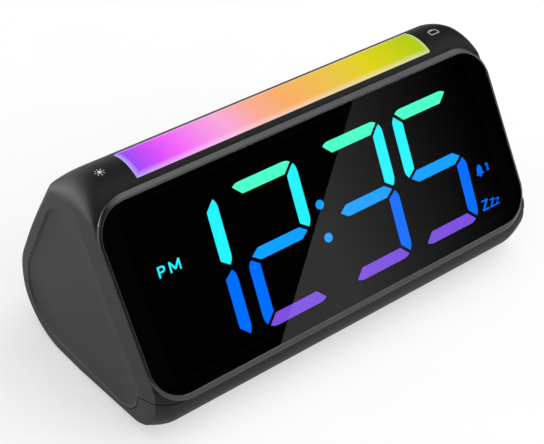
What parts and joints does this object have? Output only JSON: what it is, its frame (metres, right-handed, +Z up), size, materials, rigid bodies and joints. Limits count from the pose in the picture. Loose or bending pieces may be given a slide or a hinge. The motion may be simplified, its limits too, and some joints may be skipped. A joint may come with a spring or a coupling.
{
  "type": "digital alarm clock",
  "caption": "Rounded triangular digital alarm clock with a leaning segment display, a coloured night light bar along the apex and press keys on the rear.",
  "frame": {"origin": "on the resting surface, under the middle of the overall box", "axes": "+X to the right of a person reading the display, +Y to the rear, +Z up"},
  "size_m": [0.1536, 0.0774, 0.0742],
  "materials": {
    "shell_black": "fine satin moulded grain",
    "bezel_grey": "satin grey",
    "lens_black": "polished, smoked",
    "mask_black": "matte",
    "segment_mint": "lit diffuser",
    "segment_cyan": "lit diffuser",
    "segment_azure": "lit diffuser",
    "segment_blue": "lit diffuser",
    "segment_violet": "lit diffuser",
    "light_bar_frost": "frosted, lit from inside",
    "key_black": "satin",
    "board_green": "solder mask",
    "board_white": "white solder mask",
    "lamp_white": "moulded lamp",
    "steel": "stamped sheet",
    "screw_steel": "turned",
    "copper": "bare foil",
    "chip_black": "moulded",
    "capacitor_blue": "sleeve",
    "speaker_black": "pressed paper",
    "magnet_grey": "sintered",
    "ribbon_white": "flat cable",
    "lead_red": "insulated lead",
    "foot_rubber": "matte"
  },
  "bodies": {
    "housing": {"upper_housing": "shell_black", "base_cover": "shell_black", "lens_bezel": "bezel_grey", "display_lens": "lens_black", "light_box": "mask_black", "segments_unlit": "mask_black", "segments_top": "segment_mint", "segments_upper": "segment_cyan", "afternoon_mark": "segment_cyan", "segments_middle": "segment_azure", "segments_lower": "segment_blue", "alarm_marks": "segment_blue", "segments_bottom": "segment_violet", "display_board": "board_green", "rear_board": "board_green", "main_board": "board_green", "lamp_board": "board_white", "display_leds": "lamp_white", "lamps": "lamp_white", "snooze_switches": "steel", "key_switches": "steel", "power_inlet": "steel", "speaker_basket": "steel", "cell_holder": "steel", "coin_cell": "steel", "display_board_screws": "screw_steel", "rear_board_screws": "screw_steel", "main_board_screws": "screw_steel", "housing_screws": "screw_steel", "touch_pads": "copper", "processor": "chip_black", "inlet_tongue": "chip_black", "capacitors": "capacitor_blue", "speaker_cone": "speaker_black", "speaker_gasket": "speaker_black", "speaker_magnet": "magnet_grey", "display_ribbon": "ribbon_white", "lamp_ribbon": "ribbon_white", "key_ribbon": "ribbon_white", "speaker_lead": "lead_red", "feet": "foot_rubber"},
    "light_bar": {"light_bar": "light_bar_frost", "snooze_stems": "key_black"},
    "cell_cover": {"cell_cover": "shell_black"},
    "set_key": {"set_key": "key_black", "set_stem": "key_black"},
    "down_key": {"down_key": "key_black", "down_stem": "key_black"},
    "up_key": {"up_key": "key_black", "up_stem": "key_black"},
    "alarm_one_key": {"alarm_one_key": "key_black", "alarm_one_stem": "key_black"},
    "alarm_two_key": {"alarm_two_key": "key_black", "alarm_two_stem": "key_black"}
  },
  "joints": [
    {"name": "light_bar_press", "type": "slide", "parent": "housing", "child": "light_bar", "axis": [0, 0.0958, -0.9954], "range_m": [0, 0.0006], "stiffness_N_per_m": 1500, "springref_m": -0.001},
    {"name": "set_press", "type": "slide", "parent": "housing", "child": "set_key", "axis": [0, -0.866, -0.5], "range_m": [0, 0.0005], "stiffness_N_per_m": 800, "springref_m": -0.0006},
    {"name": "down_press", "type": "slide", "parent": "housing", "child": "down_key", "axis": [0, -0.866, -0.5], "range_m": [0, 0.0005], "stiffness_N_per_m": 800, "springref_m": -0.0006},
    {"name": "up_press", "type": "slide", "parent": "housing", "child": "up_key", "axis": [0, -0.866, -0.5], "range_m": [0, 0.0005], "stiffness_N_per_m": 800, "springref_m": -0.0006},
    {"name": "alarm_one_press", "type": "slide", "parent": "housing", "child": "alarm_one_key", "axis": [0, -0.866, -0.5], "range_m": [0, 0.0005], "stiffness_N_per_m": 800, "springref_m": -0.0006},
    {"name": "alarm_two_press", "type": "slide", "parent": "housing", "child": "alarm_two_key", "axis": [0, -0.866, -0.5], "range_m": [0, 0.0005], "stiffness_N_per_m": 800, "springref_m": -0.0006},
    {"name": "cell_cover_turn", "type": "hinge", "parent": "housing", "child": "cell_cover", "pos_m": [-0.02, -0.00256, 0.0015], "axis": [0, 0, 1], "range_deg": [0, 90]}
  ]
}
